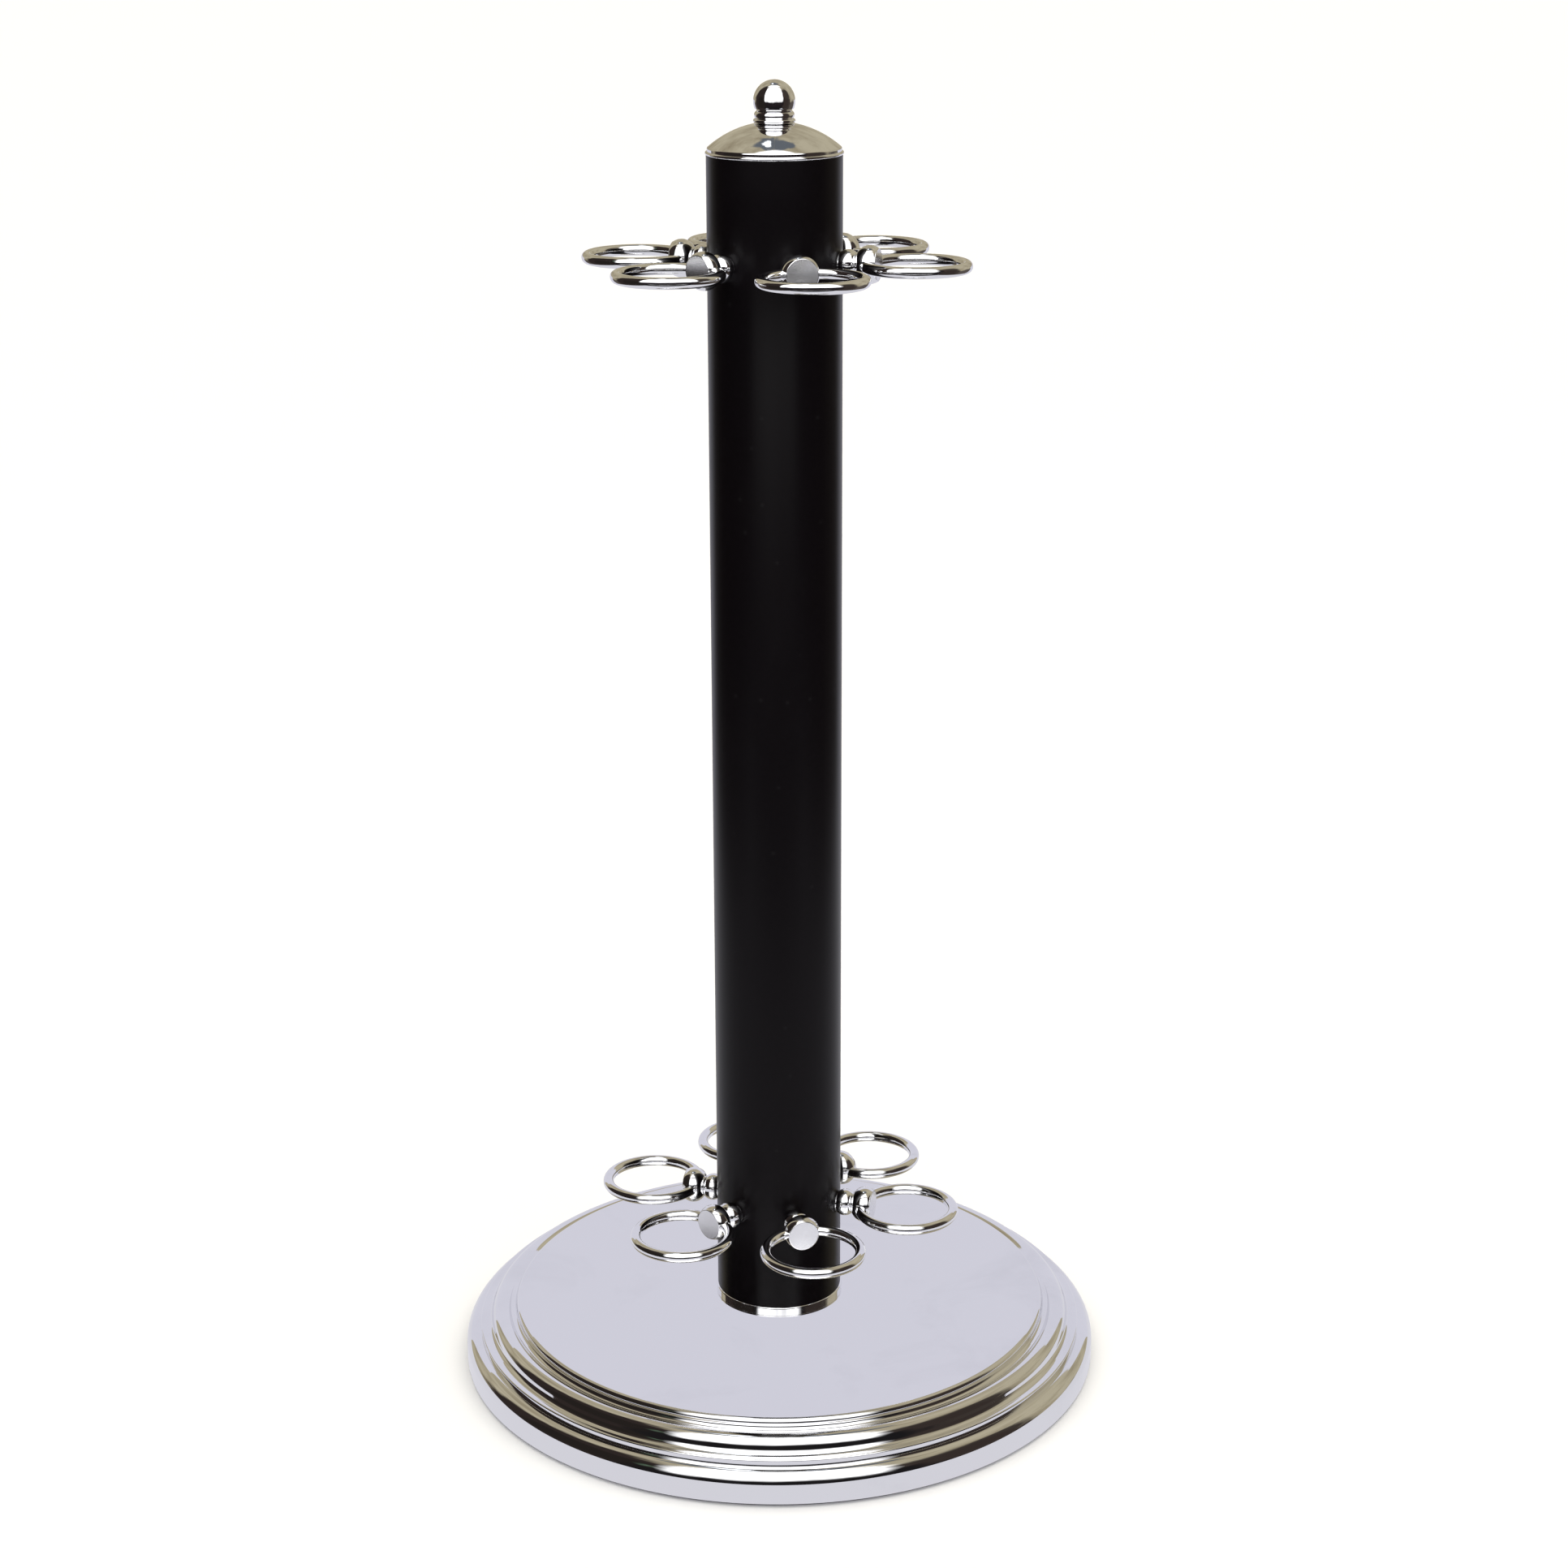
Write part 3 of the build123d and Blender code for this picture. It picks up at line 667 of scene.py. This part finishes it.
floorShape = {"corners": [(-30, -3, 0), (30, -3, 0), (30, 40, 0), (-30, 40, 0)],
              "colour": (0.90, 0.90, 0.90)}
sheetColour = (0.71, 0.705, 0.79)
glowCards = {
    # cards that only mirrored light sees: corners from the camera's side, in metres, a colour, and
    # how much of the card its soft edge takes
    "tableSheet": ([(-0.8, -0.75, 0), (0.8, -0.75, 0), (0.8, 0.8, 0), (-0.8, 0.8, 0)],
                   (0.74, 0.735, 0.79), 0.0),
    "backSheet": ([(-0.8, 0.8, 0), (0.8, 0.8, 0), (0.8, 0.8, 0.66), (-0.8, 0.8, 0.66)], sheetColour, 0.0),
    "leftScreen": ([(-0.62, -0.75, 0), (-1.5, 0.2, 0), (-1.5, 0.2, 1.15), (-0.62, -0.75, 1.15)],
                   (0.020, 0.016, 0.014), 0.10),
    "rightScreen": ([(0.66, -0.75, 0), (1.2, -0.1, 0), (1.2, -0.1, 1.0), (0.66, -0.75, 1.0)],
                    (0.040, 0.030, 0.026), 0.10),
    "frontLight": ([(-0.74, -0.92, 0.28), (0.70, -0.92, 0.28), (0.62, -0.05, 1.9), (-0.62, -0.05, 1.9)],
                   (2.2, 2.2, 2.2), 0.09),
    "finialLight": ([(-0.30, -0.22, 0.67), (0.27, -0.22, 0.67), (0.14, -0.02, 1.12), (-0.16, -0.02, 1.12)],
                    (2.2, 2.2, 2.2), 0.08),
    "finialShade": ([(-0.34, -0.24, 0.57), (0.34, -0.24, 0.57), (0.34, -0.24, 0.72), (-0.34, -0.24, 0.72)],
                    (0.016, 0.012, 0.014), 0.05),
    "overheadLight": ([(-0.62, -0.05, 1.9), (0.62, -0.05, 1.9), (0.62, 0.16, 1.9), (-0.62, 0.16, 1.9)],
                      (1.7, 1.7, 1.7), 0.12)}
cardEdge = {"scale": 7.0, "detail": 3.0, "wander": 0.12}
# painted reflection on the base's flat top: a ring of glowing card just over it, seen only in the flat
# top's mirror image
flatTopReflectionCard = {"inner": 36.2 * mm, "outer": 147.2 * mm, "lift": 0.4 * mm, "steps": 96}
studioSky = {
    "backdrop": (1.0, 1.0, 0.98), "ceiling": (0.50, 0.45, 0.325), "shadow": (0.30, 0.255, 0.17),
    "wander": 6.0, "clutter": 3.2,
    "zones": [
        # name, colour, azimuth from the camera's side (positive to its right), elevation, softness
        ("underTable", (0.10, 0.085, 0.075), (-181, 181), (-91, -4), 4.0),
        ("leftDark", (0.030, 0.022, 0.020), (-118, -30), (-91, 66), 6.0),
        ("rightDark", (0.050, 0.040, 0.034), (30, 98), (-91, 54), 6.0),
        ("greenFleck", (0.16, 0.26, 0.17), (-58, -46), (28, 44), 4.0),
        ("redFleck", (0.22, 0.10, 0.08), (50, 62), (18, 34), 4.0),
        ("ceilingPatchLeft", (0.13, 0.145, 0.165), (-181, -142), (63, 82), 2.0),
        ("ceilingPatchRight", (0.13, 0.145, 0.165), (142, 181), (63, 82), 2.0),
        ("ceilingLamp", (1.6, 1.65, 1.7), (-172, -156), (68, 74), 1.5),
        ("darkHorizon", (0.012, 0.011, 0.012), (-62, 62), (-91, 36), 5.0)]}
keySun = {"strength": 3.1, "angle": 110.0, "tilt": 12.0}


def addStage(name, points, faces, material):
    # stage surface drawn square to the camera's side, then turned with it
    turn = Matrix.Rotation(np.radians(viewPoint["turn"]), 4, "Z")
    mesh = bpy.data.meshes.new(name)
    mesh.from_pydata([tuple(turn @ Vector(point)) for point in points], [], faces)
    mesh.materials.append(material)
    surface = bpy.data.objects.new(name, mesh)
    scene.collection.objects.link(surface)
    surface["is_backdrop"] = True
    return surface


def between(tree, value, low, high, soft):
    # mask that is one between two angles and falls off smoothly over the softness
    rising = addNode(tree, "ShaderNodeMapRange",
                     {"Value": value, "From Min": low - soft, "From Max": low + soft},
                     interpolation_type="SMOOTHSTEP")
    falling = addNode(tree, "ShaderNodeMapRange",
                      {"Value": value, "From Min": high - soft, "From Max": high + soft,
                       "To Min": 1.0, "To Max": 0.0}, interpolation_type="SMOOTHSTEP")
    return addNode(tree, "ShaderNodeMath", {0: rising.outputs[0], 1: falling.outputs[0]},
                   operation="MULTIPLY").outputs[0]


def addGlow(name, points, faces, colour, edge=0.0):
    # a lit card that takes part in mirrored light alone; a soft edge fades out towards its sides
    material, tree, shader = newMaterial(name, Emission_Color=(*colour, 1), Emission_Strength=1.0,
                                         Base_Color=(0, 0, 0, 1), Specular_IOR_Level=0.0)
    card = addStage(name, points, faces, material)
    card.visible_camera = card.visible_diffuse = card.visible_shadow = card.visible_transmission = False
    if edge:
        layer = card.data.uv_layers.new(name="cardPlace")
        layer.data.foreach_set("uv", np.array([(0, 0), (1, 0), (1, 1), (0, 1)], np.float32).ravel())
        place = addNode(tree, "ShaderNodeUVMap", uv_map="cardPlace").outputs[0]
        mottle = addNode(tree, "ShaderNodeTexNoise",
                         {"Vector": place, "Scale": cardEdge["scale"], "Detail": cardEdge["detail"]})
        shift = addNode(tree, "ShaderNodeVectorMath", {0: mottle.outputs["Color"], 1: (0.5, 0.5, 0.5)},
                        operation="SUBTRACT")
        wander = (cardEdge["wander"], cardEdge["wander"], 0.0)
        sized = addNode(tree, "ShaderNodeVectorMath", {0: shift.outputs[0], 1: wander},
                        operation="MULTIPLY")
        wavy = addNode(tree, "ShaderNodeVectorMath", {0: place, 1: sized.outputs[0]}, operation="ADD")
        axes = addNode(tree, "ShaderNodeSeparateXYZ", {0: wavy.outputs[0]}).outputs
        masks = [between(tree, axis, edge, 1 - edge, edge) for axis in axes[:2]]
        mask = addNode(tree, "ShaderNodeMath", {0: masks[0], 1: masks[1]}, operation="MULTIPLY")
        tree.links.new(mask.outputs[0], shader.inputs["Alpha"])
    return card


def buildStage():
    # a level pale floor, the cards round it, and a ring of glowing card close over the base's flat top,
    # which paints the flat top's reflection as a plain lavender
    material = newMaterial("paleFloor", Roughness=0.9, Base_Color=(*floorShape["colour"], 1))[0]
    floor = addStage("studioFloor", floorShape["corners"], [(0, 1, 2, 3)], material)
    floor.visible_glossy = False
    for name, (corners, colour, edge) in glowCards.items():
        addGlow(name, corners, [(0, 1, 2, 3)], colour, edge)
    t = np.arange(flatTopReflectionCard["steps"]) * 2 * np.pi / flatTopReflectionCard["steps"]
    height = np.full(len(t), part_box("base_shell")[1].z + flatTopReflectionCard["lift"])
    rings = [np.stack([radius * np.cos(t), radius * np.sin(t), height], axis=1)
             for radius in (flatTopReflectionCard["inner"], flatTopReflectionCard["outer"])]
    # painted reflection: a glowing lavender ring that stands in for what the flat top would mirror
    card = addGlow("flatTopPaintedReflection", np.concatenate(rings), quadGrid(2, len(t), False).tolist(), sheetColour)
    # painted reflection: it shows only from underneath and in the first mirror image, so the flat top
    # mirrors this plain lavender instead of the column and rings above it, while the rings and the collar
    # mirror the flat top itself and not this card
    tree = card.data.materials[0].node_tree
    depth = addNode(tree, "ShaderNodeLightPath").outputs["Ray Depth"]
    first = addNode(tree, "ShaderNodeMath", {0: depth, 1: 1.5}, operation="LESS_THAN")
    below = addNode(tree, "ShaderNodeNewGeometry").outputs["Backfacing"]
    mask = addNode(tree, "ShaderNodeMath", {0: below, 1: first.outputs[0]}, operation="MULTIPLY")
    tree.links.new(mask.outputs[0], tree.nodes["Principled BSDF"].inputs["Alpha"])


def laidOver(tree, under, tone, mask, label):
    # a plain tone mixed over a colour where the mask is one
    mix = addNode(tree, "ShaderNodeMix", {"Factor": mask}, data_type="RGBA", label=label)
    colours = [socket for socket in mix.inputs if socket.type == "RGBA"]
    tree.links.new(under, colours[0])
    colours[1].default_value = (*tone, 1)
    return next(socket for socket in mix.outputs if socket.type == "RGBA")


def buildSky(spec):
    # studio surroundings as zones of azimuth and elevation, each laid over the ones before
    world = bpy.data.worlds.new("studioSky")
    world.use_nodes = True
    tree = world.node_tree
    scene.world = world
    direction = addNode(tree, "ShaderNodeTexCoord").outputs["Generated"]
    turned = addNode(tree, "ShaderNodeVectorRotate",
                     {"Vector": direction, "Angle": -np.radians(viewPoint["turn"])},
                     rotation_type="Z_AXIS")
    axes = addNode(tree, "ShaderNodeSeparateXYZ", {0: turned.outputs[0]})
    clutter = addNode(tree, "ShaderNodeTexNoise",
                      {"Vector": turned.outputs[0], "Scale": spec["clutter"], "Detail": 5.0,
                       "Roughness": 0.62}).outputs["Fac"]
    sway = addNode(tree, "ShaderNodeMapRange",
                   {"Value": clutter, "From Min": 0.3, "From Max": 0.7,
                    "To Min": -spec["wander"], "To Max": spec["wander"]}).outputs[0]
    rise = addNode(tree, "ShaderNodeMath", {0: axes.outputs[2]}, operation="ARCSINE")
    level = addNode(tree, "ShaderNodeMath", {0: rise.outputs[0]}, operation="DEGREES").outputs[0]
    elevation = addNode(tree, "ShaderNodeMath", {0: level, 1: sway}, operation="ADD").outputs[0]
    towards = addNode(tree, "ShaderNodeMath", {0: axes.outputs[1], 1: -1.0}, operation="MULTIPLY")
    around = addNode(tree, "ShaderNodeMath", {0: axes.outputs[0], 1: towards.outputs[0]},
                     operation="ARCTAN2")
    heading = addNode(tree, "ShaderNodeMath", {0: around.outputs[0]}, operation="DEGREES").outputs[0]
    azimuth = addNode(tree, "ShaderNodeMath", {0: heading, 1: sway}, operation="ADD").outputs[0]
    patches = addNode(tree, "ShaderNodeMapRange",
                      {"Value": clutter, "From Min": 0.42, "From Max": 0.68})
    colour = tintBetween(tree, patches.outputs[0], spec["ceiling"], spec["shadow"])
    for name, tone, across, up, soft in spec["zones"]:
        mask = addNode(tree, "ShaderNodeMath",
                       {0: between(tree, azimuth, *across, soft), 1: between(tree, elevation, *up, soft)},
                       operation="MULTIPLY")
        colour = laidOver(tree, colour, tone, mask.outputs[0], name)
    # seen straight on, the surroundings are a plain backdrop; the zones are there to be mirrored
    direct = addNode(tree, "ShaderNodeLightPath").outputs["Is Camera Ray"]
    colour = laidOver(tree, colour, spec["backdrop"], direct, "backdrop")
    tree.links.new(colour, tree.nodes["Background"].inputs["Color"])


def buildSun(spec):
    # broad soft light from above, for the floor and the dull surfaces only
    lamp = bpy.data.lights.new("softSun", "SUN")
    lamp.energy = spec["strength"]
    lamp.angle = np.radians(spec["angle"])
    sun = bpy.data.objects.new("softSun", lamp)
    sun.rotation_euler = (np.radians(spec["tilt"]), 0, 0)
    sun.visible_glossy = False
    scene.collection.objects.link(sun)


buildStage()
buildSky(studioSky)
buildSun(keySun)
print("stand: studio ready")


def plainList(value):
    return [plainList(part) for part in value] if hasattr(value, "__len__") else float(value)


{"cad": plainList(cadBounds), "visual": plainList(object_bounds())}
